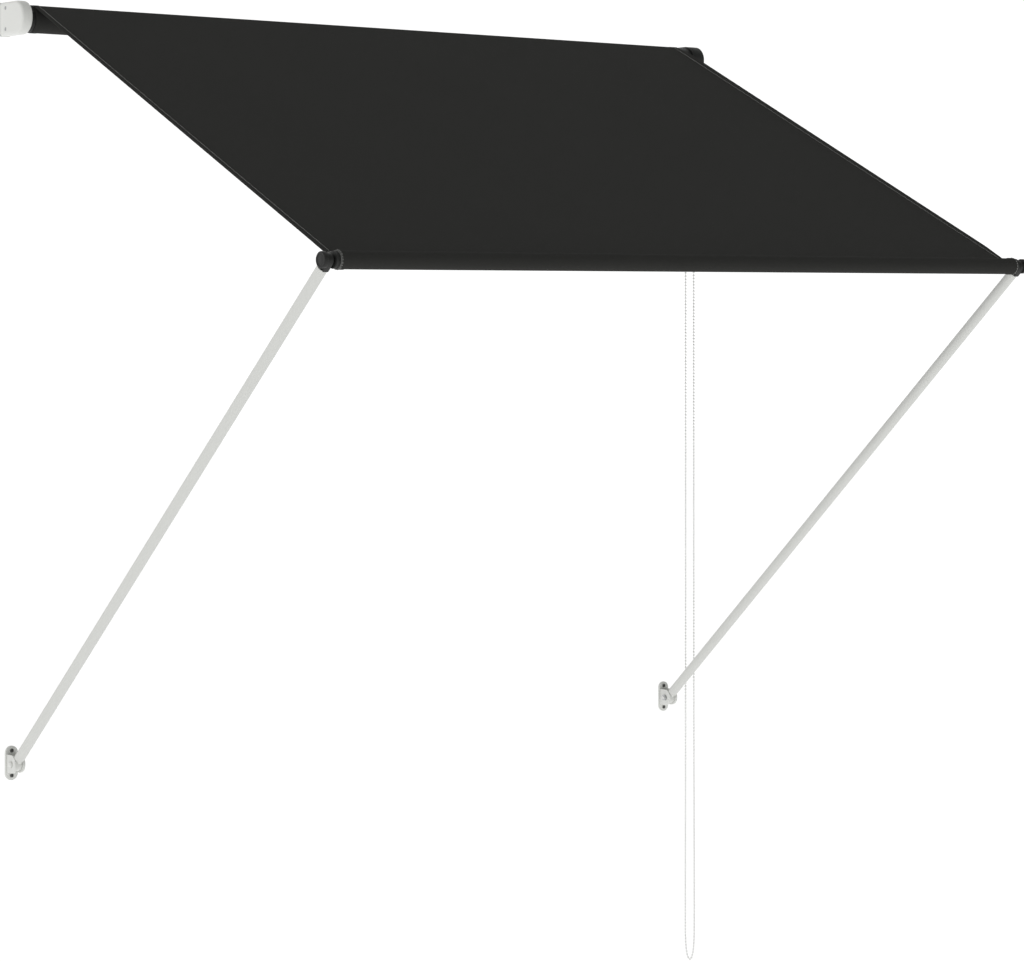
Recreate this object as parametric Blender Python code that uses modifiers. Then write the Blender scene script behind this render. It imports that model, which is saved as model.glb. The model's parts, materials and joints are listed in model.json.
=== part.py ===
"""Drop-arm canvas awning with a chain-driven roller, two swinging arms and a fabric canopy.

X runs across the window, +Y points into the wall, whose face is y = 0, and +Z is up.
The origin lies on the wall face, level with the roller's axis, midway along the fabric.
"""
import math

import bmesh
import bpy
from mathutils import Matrix, Vector

# Driving dimensions, in metres.
FABRIC_HALF_WIDTH = 0.7215
FABRIC_THICKNESS = 0.0012
GAP = 0.0003

ROLLER_OUT = 0.046          # roller axis to wall
ROLL_RADIUS = 0.0240
ROLLER_TUBE_RADIUS = 0.019
TUBE_WALL = 0.0014

ARM_LENGTH = 1.2716         # foot pivot to front bar axis, and foot pivot to roller axis
OPEN_ANGLE = math.radians(46.705)
FOOT_OUT = 0.0188           # foot pivot to wall
ARM_X = 0.7328
ARM_RADIUS = 0.0090
ARM_BORE = 0.0078
STEM_RADIUS = ARM_BORE - 0.0002
STEM_LENGTH = 0.030

BAR_RADIUS = 0.013
SLEEVE_RADIUS = 0.0145
BAR_HALF_LENGTH = 0.7175
SLEEVE_NECK = 0.026         # bar axis to the seam that closes the sleeve
PLUG_RADIUS = 0.0111
PLUG_DEPTH = 0.030
PLUG_LEAD = 0.002
COLLAR_RADIUS = 0.0133
EYE_RADIUS = 0.0100
EYE_THICKNESS = 0.0095
FITTING_END = 0.0160        # bar axis to the fitting's square end
EYE_PIN_RADIUS = 0.005
KNOB_RADIUS = 0.01275
KNOB_THICKNESS = 0.008
KNOB_EDGE = 0.0020           # how far its outer edge is rounded

COVER_OUTER_X = -0.760
COVER_INNER_X = -0.739
COVER_HEIGHT = 0.057
COVER_DEPTH = 0.092
COVER_WALL = 0.003
PLATE_DEPTH = 0.009
WEB_THICKNESS = 0.003
WEB_REACH = 0.012           # roller axis to the web's front edge
WEB_MARGIN = 0.003
COVER_BEVEL = 0.003
SCREW_SPACING = 0.036
DRIVE_SCREW_SPACING = 0.0252
SCREW_OUT = 0.0320
HEAD_RADIUS = 0.0028
HEAD_DEPTH = 0.0017
SHANK_RADIUS = 0.0014
SHANK_LENGTH = 0.0095
IDLER_PIN_RADIUS = 0.005
IDLER_PIN_END = -0.700
PIN_LEAD = 0.002
ROLLER_PLUG_DEPTH = 0.030
FLANGE_RADIUS = 0.0230

DRIVE_INNER_X = 0.753
DRIVE_OUTER_X = 0.782
DRIVE_HEIGHT = 0.052
DRIVE_DEPTH = 0.072
CHAIN_X = 0.7646
CHAIN_PITCH_RADIUS = 0.0122
CHAIN_RADIUS = 0.00225
WHEEL_FLANGE_RADIUS = 0.0148
WHEEL_CORE_RADIUS = 0.0096
WHEEL_HUB_RADIUS = 0.008
WHEEL_BORE = 0.0043
WHEEL_RIM = 0.002
WHEEL_BOSS_RADIUS = 0.007
WHEEL_BOSS_REACH = 0.0075
SPRING_WIRE_RADIUS = 0.0003
SLOT_HALF_WIDTH = 0.0042
SLOT_MARGIN = 0.005
WHEEL_INNER_X = 0.7385
DRIVE_BACK = 0.0030
DRIVE_PLATE_HEIGHT = 0.045
CONNECTOR_TOP = -0.046
CONNECTOR_LENGTH = 0.016
CONNECTOR_RADIUS = 0.0032

FOOT_WIDTH = 0.0235
FOOT_HEIGHT = 0.059
FOOT_THICKNESS = 0.004
FOOT_HOLE_SPACING = 0.0426
FOOT_HOLE_RADIUS = 0.0024
EAR_RADIUS = 0.0155
EAR_THICKNESS = 0.0036
CLEVIS_WIDTH = 0.0195
BOLT_RADIUS = 0.003
BOLT_HEAD_RADIUS = 0.0055
BOLT_HEAD_HEIGHT = 0.0032
NUT_RADIUS = 0.0058
NUT_THICKNESS = 0.0032
KNUCKLE_RADIUS = 0.012
ROOT_OVERLAP = 0.005         # how far the stem's root runs into the knuckle

# Where the axes stand in the plane across the awning.
WALL_LINE_TILT = math.asin((ROLLER_OUT - FOOT_OUT) / ARM_LENGTH)
ARM_TILT = WALL_LINE_TILT + OPEN_ANGLE
ROLLER_AXIS = Vector((0, -ROLLER_OUT, 0))
FOOT_AXIS = Vector((0, -FOOT_OUT, -ARM_LENGTH * math.cos(WALL_LINE_TILT)))
BAR_AXIS = FOOT_AXIS + ARM_LENGTH * Vector((0, -math.sin(ARM_TILT), math.cos(ARM_TILT)))

# Turns an object so that its local x, y and z lie along world Y, Z and X.
ACROSS = Matrix(((0, 0, 1, 0), (1, 0, 0, 0), (0, 1, 0, 0), (0, 0, 0, 1)))


def clear_scene():
    for obj in list(bpy.data.objects):
        bpy.data.objects.remove(obj, do_unlink=True)


def new_collection(name):
    collection = bpy.data.collections.new(name)
    bpy.context.scene.collection.children.link(collection)
    return collection


def material(name, colour, roughness, metallic=0.0):
    mat = bpy.data.materials.new(name)
    mat.use_nodes = True
    shader = mat.node_tree.nodes["Principled BSDF"]
    shader.inputs["Base Color"].default_value = (*colour, 1)
    shader.inputs["Roughness"].default_value = roughness
    shader.inputs["Metallic"].default_value = metallic
    return mat


def white_paint():
    return material("white_powder_coat", (0.78, 0.79, 0.76), 0.45)


def black_plastic():
    return material("black_plastic", (0.03, 0.031, 0.03), 0.5)


def canvas():
    return material("anthracite_canvas", (0.026, 0.026, 0.025), 0.9)


def aluminium():
    return material("aluminium", (0.62, 0.62, 0.63), 0.4, 1.0)


def steel():
    return material("zinc_steel", (0.55, 0.56, 0.57), 0.35, 1.0)


def chain_plastic():
    return material("white_chain_plastic", (0.8, 0.8, 0.78), 0.4)


def add(name, data, where, mat, matrix=None):
    """Links a mesh or curve as an object, placed by a world matrix."""
    obj = bpy.data.objects.new(name, data)
    where.objects.link(obj)
    obj.matrix_world = matrix or Matrix()
    if mat:
        data.materials.append(mat)
    return obj


def smooth(mesh):
    mesh.shade_smooth()
    mesh.set_sharp_from_angle(angle=math.radians(35))


def mesh_from(name, bm):
    mesh = bpy.data.meshes.new(name)
    bm.to_mesh(mesh)
    bm.free()
    smooth(mesh)
    return mesh


def box_mesh(name, low, high):
    """A block between two corners."""
    low = Vector(low)
    high = Vector(high)
    bm = bmesh.new()
    bmesh.ops.create_cube(bm, size=1)
    bmesh.ops.scale(bm, vec=high - low, verts=bm.verts)
    bmesh.ops.translate(bm, vec=(low + high) / 2, verts=bm.verts)
    return mesh_from(name, bm)


def rod_mesh(name, radius, start, end, sides=32):
    """A round rod along local Z."""
    bm = bmesh.new()
    bmesh.ops.create_cone(bm, cap_ends=True, segments=sides, radius1=radius, radius2=radius,
                          depth=end - start)
    bmesh.ops.translate(bm, vec=(0, 0, (start + end) / 2), verts=bm.verts)
    return mesh_from(name, bm)


def turned(name, profile, where, mat, matrix, closed=False, sides=40):
    """A turned piece about local Z. The profile lists (radius, height), top to bottom outside."""
    bm = bmesh.new()
    verts = [bm.verts.new((radius, 0, height)) for radius, height in profile]
    for first, second in zip(verts, verts[1:]):
        bm.edges.new((first, second))
    if closed:
        bm.edges.new((verts[-1], verts[0]))
    obj = add(name, mesh_from(name, bm), where, mat, matrix)
    screw = obj.modifiers.new("turn", "SCREW")
    screw.steps = sides
    screw.render_steps = sides
    screw.use_merge_vertices = True
    screw.merge_threshold = 0.00001
    return obj


def arc(centre, radius, start, end, count):
    """Points along a circular arc, angles in degrees."""
    points = []
    for step in range(count + 1):
        angle = math.radians(start + (end - start) * step / count)
        points.append((centre[0] + radius * math.cos(angle), centre[1] + radius * math.sin(angle)))
    return points


def flat_outline(name, outlines, half_thickness, where, mat, matrix, bevel=0.0):
    """A plate of the given outlines, extruded both ways along local Z, as a welded mesh."""
    curve = bpy.data.curves.new(name, "CURVE")
    curve.dimensions = "2D"
    curve.fill_mode = "BOTH"
    curve.extrude = half_thickness - bevel
    curve.bevel_depth = bevel
    curve.bevel_resolution = 1
    curve.offset = -bevel
    for points in outlines:
        spline = curve.splines.new("POLY")
        spline.points.add(len(points) - 1)
        for point, (x, y) in zip(spline.points, points):
            point.co = (x, y, 0, 1)
        spline.use_cyclic_u = True
    return welded(add(name, curve, where, mat, matrix))


def welded(obj):
    """Turns a curve object into a mesh object with its caps joined on."""
    bpy.context.view_layer.update()
    evaluated = obj.evaluated_get(bpy.context.evaluated_depsgraph_get())
    mesh = bpy.data.meshes.new_from_object(evaluated)
    bm = bmesh.new()
    bm.from_mesh(mesh)
    bmesh.ops.remove_doubles(bm, verts=bm.verts, dist=0.00001)
    bm.to_mesh(mesh)
    bm.free()
    smooth(mesh)
    name = obj.name
    where = obj.users_collection[0]
    matrix = obj.matrix_world.copy()
    bpy.data.objects.remove(obj)
    return add(name, mesh, where, None, matrix)


def hidden(obj):
    obj.hide_render = True
    obj.display_type = "WIRE"
    return obj


def combine(obj, cutter, operation):
    cut = obj.modifiers.new(operation.lower(), "BOOLEAN")
    cut.operation = operation
    cut.solver = "EXACT"
    cut.object = cutter
    return obj


def bored(obj, radius, start, end, cutters, matrix, sides=32):
    """Drills a round hole along the matrix's local Z."""
    mesh = rod_mesh(obj.name + "_bore", radius, start, end, sides)
    return combine(obj, hidden(add(obj.name + "_bore", mesh, cutters, None, matrix)), "DIFFERENCE")


def pocketed(obj, low, high, cutters):
    """Cuts a block, given in world coordinates, out of an object."""
    mesh = box_mesh(obj.name + "_pocket", low, high)
    return combine(obj, hidden(add(obj.name + "_pocket", mesh, cutters, None)), "DIFFERENCE")


def across(point):
    """World placing of a piece whose local Z lies along world X."""
    return Matrix.Translation(point) @ ACROSS


def outward(side, point):
    """World placing of a piece whose local Z points out at its end of the awning."""
    turn = Matrix() if side > 0 else Matrix.Rotation(math.pi, 4, "X")
    return across(point) @ turn


def d_outline(back, front, height):
    """A plate profile in (y, z), square at the back and half round at the front."""
    radius = height / 2
    points = arc((-front + radius, 0), radius, 90, 270, 20)
    return points + [(-back, -radius), (-back, radius)]


def carry(obj, empty):
    """Hangs a piece on the empty that stands on its joint axis."""
    bpy.context.view_layer.update()
    world = obj.matrix_world.copy()
    obj.parent = empty
    obj.matrix_parent_inverse = empty.matrix_world.inverted()
    obj.matrix_world = world


def joint_empty(name, point, where):
    empty = bpy.data.objects.new(name, None)
    empty.location = point
    where.objects.link(empty)
    return empty


def left_bracket(parts, cutters, paint, metal):
    """Wall plate with a forward web, the moulded cover over it, two screws and the idler pin."""
    bracket(parts, cutters, paint, metal, "left", -1, -COVER_OUTER_X, -COVER_INNER_X,
            COVER_HEIGHT, COVER_DEPTH, COVER_HEIGHT, paint, SCREW_SPACING)
    web_outer = COVER_OUTER_X + COVER_WALL + GAP
    turned("idler_pin",
           [(0, IDLER_PIN_END), (IDLER_PIN_RADIUS - PIN_LEAD / 4, IDLER_PIN_END),
            (IDLER_PIN_RADIUS, IDLER_PIN_END - PIN_LEAD),
            (IDLER_PIN_RADIUS, web_outer + GAP), (0, web_outer + GAP)],
           parts, metal, across(ROLLER_AXIS), sides=24)


def right_bracket(parts, cutters, paint, plastic, metal):
    """Wall plate, the black chain housing with its back plate, two screws and the wheel's pin."""
    bracket(parts, cutters, paint, metal, "right", 1, DRIVE_OUTER_X, DRIVE_INNER_X + DRIVE_BACK,
            DRIVE_HEIGHT, DRIVE_DEPTH, DRIVE_PLATE_HEIGHT, plastic, DRIVE_SCREW_SPACING)
    cover = bpy.data.objects["chain_housing"]
    reach = CHAIN_PITCH_RADIUS + SLOT_MARGIN
    slot = (CHAIN_X - SLOT_HALF_WIDTH, -ROLLER_OUT - reach, -DRIVE_HEIGHT)
    pocketed(cover, slot, (CHAIN_X + SLOT_HALF_WIDTH, -ROLLER_OUT + reach, -DRIVE_HEIGHT / 4), cutters)
    hub_way = arc((-ROLLER_OUT, 0), WHEEL_HUB_RADIUS + 2 * GAP, 0, 345, 23)
    flat_outline("housing_back",
                 [d_outline(PLATE_DEPTH + GAP, DRIVE_DEPTH, DRIVE_HEIGHT), hub_way],
                 DRIVE_BACK / 2 - GAP, parts, plastic,
                 across((DRIVE_INNER_X + DRIVE_BACK / 2, 0, 0)))
    web_outer = DRIVE_OUTER_X - COVER_WALL - GAP
    turned("wheel_pin",
           [(0, web_outer - GAP), (WHEEL_BORE - GAP, web_outer - GAP),
            (WHEEL_BORE - GAP, WHEEL_INNER_X), (0, WHEEL_INNER_X)],
           parts, metal, across(ROLLER_AXIS), sides=24)


def bracket(parts, cutters, paint, metal, side_name, side, outer, inner, height, depth,
            plate_height, cover_mat, screw_spacing):
    """Plate and web in one, a hollow D-shaped cover open at the wall, and its two screws."""
    web_outer = outer - COVER_WALL - GAP
    web_inner = web_outer - WEB_THICKNESS
    half = plate_height / 2
    corners = sorted((side * outer, side * inner))
    plate = add("wall_plate_" + side_name,
                box_mesh("wall_plate", (corners[0], -PLATE_DEPTH, -half), (corners[1], 0, half)),
                parts, paint)
    webs = sorted((side * web_outer, side * web_inner))
    web_half = screw_spacing / 2 + WEB_MARGIN
    web = box_mesh("web", (webs[0], -ROLLER_OUT - WEB_REACH, -web_half),
                   (webs[1], -PLATE_DEPTH / 2, web_half))
    combine(plate, hidden(add("web_" + side_name, web, cutters, None)), "UNION")
    pin = IDLER_PIN_RADIUS if side < 0 else WHEEL_BORE - GAP
    bored(plate, pin + GAP, webs[0] - WEB_THICKNESS, webs[1] + WEB_THICKNESS, cutters, across(ROLLER_AXIS))

    middle = across(((corners[0] + corners[1]) / 2, 0, 0))
    name = "end_cover_left" if side < 0 else "chain_housing"
    cover = flat_outline(name, [d_outline(PLATE_DEPTH + GAP, depth, height)],
                         (outer - inner) / 2, parts, cover_mat, middle, bevel=COVER_BEVEL)
    hollow_inner = inner + COVER_WALL if side < 0 else inner - COVER_WALL
    hollow_x = side * (outer - COVER_WALL + hollow_inner) / 2
    hollow = flat_outline(name + "_hollow",
                          [d_outline(0, depth - COVER_WALL, height - 2 * COVER_WALL)],
                          (outer - COVER_WALL - hollow_inner) / 2, cutters, None,
                          across((hollow_x, 0, 0)))
    combine(cover, hidden(hollow), "DIFFERENCE")
    if side < 0:
        bored(cover, IDLER_PIN_RADIUS + 4 * GAP, corners[1] - 2 * COVER_WALL,
              corners[1] + COVER_WALL, cutters, across(ROLLER_AXIS))

    for place, z in (("upper", screw_spacing / 2), ("lower", -screw_spacing / 2)):
        seat = outward(side, (side * outer, -SCREW_OUT, z))
        label = side_name + "_" + place
        head_way = rod_mesh("head_way", HEAD_RADIUS + GAP, -HEAD_DEPTH - GAP, COVER_WALL, 20)
        combine(cover, hidden(add("head_way_" + label, head_way, cutters, None, seat)), "DIFFERENCE")
        shank = rod_mesh("shank_way", SHANK_RADIUS + GAP, -SHANK_LENGTH - COVER_WALL, COVER_WALL, 20)
        shank_way = hidden(add("shank_way_" + label, shank, cutters, None, seat))
        combine(cover, shank_way, "DIFFERENCE")
        combine(plate, shank_way, "DIFFERENCE")
        turned("cover_screw_" + label,
               [(0, GAP), (HEAD_RADIUS - 2 * GAP, GAP), (HEAD_RADIUS, -GAP), (HEAD_RADIUS, -HEAD_DEPTH),
                (SHANK_RADIUS, -HEAD_DEPTH), (SHANK_RADIUS, SHANK_RADIUS - SHANK_LENGTH),
                (0, -SHANK_LENGTH)],
               parts, metal, seat, sides=20)


def roller(parts, plastic, metal, cloth, spring_metal, axis_empty):
    """Aluminium tube, the wound canvas, the end plugs, the chain wheel and its wrap spring."""
    place = across(ROLLER_AXIS)
    half = FABRIC_HALF_WIDTH
    bore = ROLLER_TUBE_RADIUS - TUBE_WALL
    pieces = [
        turned("roller_tube", ring(ROLLER_TUBE_RADIUS, bore, half - GAP, -half + GAP),
               parts, metal, place, closed=True),
        turned("fabric_roll", ring(ROLL_RADIUS, ROLLER_TUBE_RADIUS + GAP, half, -half),
               parts, cloth, place, closed=True),
    ]
    plug_radius = bore - GAP
    flange = half + GAP
    pin_way = IDLER_PIN_RADIUS + GAP
    pieces.append(turned(
        "idler_plug",
        [(pin_way, -flange + ROLLER_PLUG_DEPTH), (plug_radius, -flange + ROLLER_PLUG_DEPTH),
         (plug_radius, -flange), (FLANGE_RADIUS, -flange), (FLANGE_RADIUS, COVER_INNER_X + 4 * GAP),
         (pin_way, COVER_INNER_X + 4 * GAP)],
        parts, plastic, place, closed=True))
    hub_way = WHEEL_HUB_RADIUS + GAP
    crown_outer = DRIVE_INNER_X - 3 * GAP
    pieces.append(turned(
        "drive_plug",
        [(hub_way, crown_outer), (FLANGE_RADIUS, crown_outer), (FLANGE_RADIUS, flange),
         (plug_radius, flange), (plug_radius, flange - ROLLER_PLUG_DEPTH),
         (0, flange - ROLLER_PLUG_DEPTH), (0, WHEEL_INNER_X - 3 * GAP),
         (hub_way, WHEEL_INNER_X - 3 * GAP)],
        parts, plastic, place, closed=True))
    boss = CHAIN_X + WHEEL_BOSS_REACH
    rim_in = CHAIN_RADIUS + 2 * GAP
    rim_out = rim_in + WHEEL_RIM
    pieces.append(turned(
        "chain_wheel",
        [(WHEEL_BORE, boss), (WHEEL_BOSS_RADIUS, boss), (WHEEL_BOSS_RADIUS, CHAIN_X + rim_out),
         (WHEEL_FLANGE_RADIUS, CHAIN_X + rim_out), (WHEEL_FLANGE_RADIUS, CHAIN_X + rim_in),
         (WHEEL_CORE_RADIUS, CHAIN_X + rim_in), (WHEEL_CORE_RADIUS, CHAIN_X - rim_in),
         (WHEEL_FLANGE_RADIUS, CHAIN_X - rim_in), (WHEEL_FLANGE_RADIUS, CHAIN_X - rim_out),
         (WHEEL_HUB_RADIUS, CHAIN_X - rim_out), (WHEEL_HUB_RADIUS, WHEEL_INNER_X),
         (WHEEL_BORE, WHEEL_INNER_X)],
        parts, plastic, place, closed=True, sides=48))
    for piece in pieces:
        carry(piece, axis_empty)
    clutch_spring(parts, spring_metal, place)


def ring(outer, inner, top, bottom):
    return [(inner, top), (outer, top), (outer, bottom), (inner, bottom)]


def clutch_spring(parts, metal, place):
    """Wrap spring round the wheel's hub, which holds the roller until the chain is pulled."""
    wire = SPRING_WIRE_RADIUS
    turns = 3
    per_turn = 16
    pitch = 2 * wire + GAP
    radius = WHEEL_HUB_RADIUS + wire + GAP
    start = DRIVE_INNER_X + DRIVE_BACK + wire + GAP
    points = []
    for step in range(turns * per_turn + 1):
        angle = math.tau * step / per_turn
        points.append((radius * math.cos(angle), radius * math.sin(angle),
                       start + pitch * step / per_turn))
    wire_along("clutch_spring", points, wire, parts, metal, place)


def wire_along(name, points, radius, where, mat, matrix=None):
    """A round wire or cord along a list of points, as a curve with filled ends."""
    curve = bpy.data.curves.new(name, "CURVE")
    curve.dimensions = "3D"
    curve.bevel_depth = radius
    curve.bevel_resolution = 2
    curve.use_fill_caps = True
    spline = curve.splines.new("POLY")
    spline.points.add(len(points) - 1)
    for point, place in zip(spline.points, points):
        point.co = (*place, 1)
    return add(name, curve, where, mat, matrix)


def canopy(parts, cloth, axis_empty):
    """The stretched canvas, from the top of the roll to the seam of the front sleeve."""
    start = CANOPY_START
    length = (SLEEVE_SEAM - start).length - GAP
    mesh = box_mesh("canopy", (-FABRIC_HALF_WIDTH, -length, -FABRIC_THICKNESS / 2),
                    (FABRIC_HALF_WIDTH, 0, FABRIC_THICKNESS / 2))
    slope = Matrix.Translation(start) @ Matrix.Rotation(FABRIC_SLOPE, 4, "X")
    carry(add("canopy", mesh, parts, cloth, slope), axis_empty)


def front_bar(parts, metal, cloth, plastic, axis_empty):
    """Aluminium tube in the canvas sleeve, with a plug and an end knob at each end."""
    place = across(BAR_AXIS)
    half = BAR_HALF_LENGTH
    pieces = [turned("front_bar", ring(BAR_RADIUS, BAR_RADIUS - TUBE_WALL, half, -half),
                     parts, metal, place, closed=True)]
    seam = FABRIC_THICKNESS
    outline = [(SLEEVE_NECK, seam)]
    outline += arc((0, 0), SLEEVE_RADIUS, 58, 302, 26)
    outline.append((SLEEVE_NECK, -seam))
    bar_way = arc((0, 0), BAR_RADIUS + GAP, 0, 348, 29)
    sleeve_place = Matrix.Translation(BAR_AXIS) @ Matrix.Rotation(FABRIC_SLOPE, 4, "X") @ ACROSS
    pieces.append(flat_outline("bar_sleeve", [outline, bar_way], half, parts, cloth, sleeve_place))
    for side, label in ((-1, "left"), (1, "right")):
        end = outward(side, BAR_AXIS)
        eye_inner = ARM_X - EYE_THICKNESS / 2
        eye_outer = ARM_X + EYE_THICKNESS / 2
        collar_in = half + GAP
        pin_end = eye_outer + 0.7 * KNOB_THICKNESS
        pieces.append(turned(
            "bar_plug_" + label,
            [(0, pin_end), (EYE_PIN_RADIUS, pin_end), (EYE_PIN_RADIUS, eye_inner - GAP),
             (COLLAR_RADIUS, eye_inner - GAP), (COLLAR_RADIUS, collar_in),
             (PLUG_RADIUS, collar_in), (PLUG_RADIUS, half - PLUG_DEPTH + PLUG_LEAD),
             (PLUG_RADIUS - PLUG_LEAD / 2, half - PLUG_DEPTH), (0, half - PLUG_DEPTH)],
            parts, plastic, end, sides=36))
        knob_in = eye_outer + GAP
        knob_out = knob_in + KNOB_THICKNESS
        pieces.append(turned(
            "end_knob_" + label,
            [(0, knob_out), (KNOB_RADIUS - KNOB_EDGE, knob_out),
             (KNOB_RADIUS - 0.3 * KNOB_EDGE, knob_out - 0.25 * KNOB_EDGE),
             (KNOB_RADIUS, knob_out - 0.9 * KNOB_EDGE), (KNOB_RADIUS, knob_in + 0.4 * KNOB_EDGE),
             (KNOB_RADIUS - 0.4 * KNOB_EDGE, knob_in), (EYE_PIN_RADIUS + GAP, knob_in),
             (EYE_PIN_RADIUS + GAP, pin_end + GAP), (0, pin_end + GAP)],
            parts, plastic, end, sides=40))
    for piece in pieces:
        carry(piece, axis_empty)


def arms(parts, cutters, paint, plastic, axis_empty):
    """Two round arms, each with a black eye fitting above and a knuckle at the foot."""
    along = Matrix.Translation(FOOT_AXIS) @ Matrix.Rotation(ARM_TILT, 4, "X")
    tube_start = EAR_RADIUS + 3 * GAP
    tube_end = ARM_LENGTH - FITTING_END - GAP
    for side, label in ((-1, "left"), (1, "right")):
        base = along @ Matrix.Translation((side * ARM_X, 0, 0))
        tube = rod_mesh("arm_tube_" + label, ARM_RADIUS, tube_start, tube_end, 32)
        tube = add("arm_tube_" + label, tube, parts, paint, base)
        bored(tube, ARM_BORE, tube_start - STEM_LENGTH, tube_end + STEM_LENGTH, cutters, base)

        eye = [(-EYE_RADIUS, -FITTING_END)]
        eye += arc((0, 0), EYE_RADIUS, 180, 0, 18)
        eye.append((EYE_RADIUS, -FITTING_END))
        pin_way = arc((0, 0), EYE_PIN_RADIUS + GAP, 0, 340, 17)
        top = base @ Matrix.Translation((0, 0, ARM_LENGTH)) @ ACROSS
        fitting = flat_outline("arm_fitting_" + label, [eye, pin_way], EYE_THICKNESS / 2,
                               parts, plastic, top)
        stem = rod_mesh("stem", STEM_RADIUS, tube_end - STEM_LENGTH, tube_end + 4 * GAP, 28)
        combine(fitting, hidden(add("fitting_stem_" + label, stem, cutters, None, base)), "UNION")

        bolt_way = arc((0, 0), BOLT_RADIUS + GAP, 0, 340, 17)
        knuckle = flat_outline("arm_knuckle_" + label,
                               [arc((0, 0), KNUCKLE_RADIUS, 0, 348, 29), bolt_way],
                               CLEVIS_WIDTH / 2 - EAR_THICKNESS - 2 * GAP, parts, paint,
                               base @ ACROSS)
        root = rod_mesh("root", STEM_RADIUS, KNUCKLE_RADIUS - ROOT_OVERLAP, tube_start + STEM_LENGTH, 28)
        root = hidden(add("knuckle_stem_" + label, root, cutters, None, base))
        combine(root, knuckle_gap(label, cutters, base), "DIFFERENCE")
        combine(knuckle, root, "UNION")
        for piece in (tube, fitting, knuckle):
            carry(piece, axis_empty)


def knuckle_gap(label, cutters, base):
    """Keeps the stem out of the bolt's way and between the two ears."""
    inner = CLEVIS_WIDTH / 2 - EAR_THICKNESS - 2 * GAP
    way = EAR_RADIUS + GAP
    frame = [(-way, -way), (way, -way), (way, way), (-way, way)]
    sides = flat_outline("knuckle_sides_" + label, [frame], CLEVIS_WIDTH, cutters, None,
                         base @ ACROSS)
    keep = flat_outline("knuckle_keep_" + label, [[(2 * x, 2 * y) for x, y in frame]], inner,
                        cutters, None, base @ ACROSS)
    combine(sides, hidden(keep), "DIFFERENCE")
    return hidden(sides)


def wall_feet(parts, cutters, paint, metal):
    """Each foot: a round-ended wall plate with two screw holes and two ears for the arm's bolt."""
    half = FOOT_HEIGHT / 2
    radius = FOOT_WIDTH / 2
    shape = arc((0, half - radius), radius, 0, 180, 14) + arc((0, radius - half), radius, 180, 360, 14)
    flat_to_wall = Matrix.Rotation(math.pi / 2, 4, "X")
    for side, label in ((-1, "left"), (1, "right")):
        centre = Vector((side * ARM_X, 0, FOOT_AXIS.z))
        holes = [arc((0, place), FOOT_HOLE_RADIUS, 0, 337.5, 15)
                 for place in (FOOT_HOLE_SPACING / 2, -FOOT_HOLE_SPACING / 2)]
        wall_side = Matrix.Translation(centre + Vector((0, -FOOT_THICKNESS / 2, 0))) @ flat_to_wall
        foot = flat_outline("wall_foot_" + label, [shape, *holes], FOOT_THICKNESS / 2,
                            parts, paint, wall_side)
        outer = CLEVIS_WIDTH / 2 - EAR_THICKNESS / 2
        bolt_way = arc((-FOOT_OUT, 0), BOLT_RADIUS + GAP, 0, 340, 17)
        for ear_side in (-1, 1):
            ear_place = across(centre + Vector((ear_side * outer, 0, 0)))
            ear = flat_outline(f"ear_{label}_{ear_side + 1}",
                               [d_outline(FOOT_THICKNESS / 2, FOOT_OUT + EAR_RADIUS, 2 * EAR_RADIUS),
                                bolt_way],
                               EAR_THICKNESS / 2, cutters, None, ear_place)
            combine(foot, hidden(ear), "UNION")
        pivot_bolt(parts, paint, metal, label, outward(side, centre + Vector((0, -FOOT_OUT, 0))))


def pivot_bolt(parts, paint, metal, label, place):
    """White round-headed bolt through the ears and the knuckle, with a hexagon nut on its end."""
    face = CLEVIS_WIDTH / 2 + GAP
    thread_end = face + 1.4 * NUT_THICKNESS
    turned("pivot_bolt_" + label,
           [(0, face + BOLT_HEAD_HEIGHT),
            (0.6 * BOLT_HEAD_RADIUS, face + 0.9 * BOLT_HEAD_HEIGHT),
            (BOLT_HEAD_RADIUS, face + 0.4 * BOLT_HEAD_HEIGHT), (BOLT_HEAD_RADIUS, face),
            (BOLT_RADIUS, face), (BOLT_RADIUS, -thread_end), (0, -thread_end)],
           parts, paint, place, sides=24)
    hexagon = arc((0, 0), NUT_RADIUS, 0, 300, 5)
    thread = arc((0, 0), BOLT_RADIUS + GAP, 0, 340, 17)
    flat_outline("pivot_nut_" + label, [hexagon, thread], NUT_THICKNESS / 2, parts, metal,
                 place @ Matrix.Translation((0, 0, -face - NUT_THICKNESS / 2)))


def smooth_through(points, spacing):
    """Points on a smooth curve through the given ones, about a spacing apart, few on long runs."""
    result = []
    ends = [points[0] * 2 - points[1]] + points + [points[-1] * 2 - points[-2]]
    for before, start, end, after in zip(ends, ends[1:], ends[2:], ends[3:]):
        first = (start - before).length ** 0.5
        second = (end - start).length ** 0.5
        third = (after - end).length ** 0.5
        leave = ((start - before) / first - (end - before) / (first + second)
                 + (end - start) / second) * second
        arrive = ((end - start) / second - (after - start) / (second + third)
                  + (after - end) / third) * second
        count = max(1, min(2, round((end - start).length / spacing)))
        for step in range(count):
            t = step / count
            result.append(start * (2 * t**3 - 3 * t**2 + 1) + leave * (t**3 - 2 * t**2 + t)
                          + end * (3 * t**2 - 2 * t**3) + arrive * (t**3 - t**2))
    result.append(points[-1])
    return result


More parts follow.
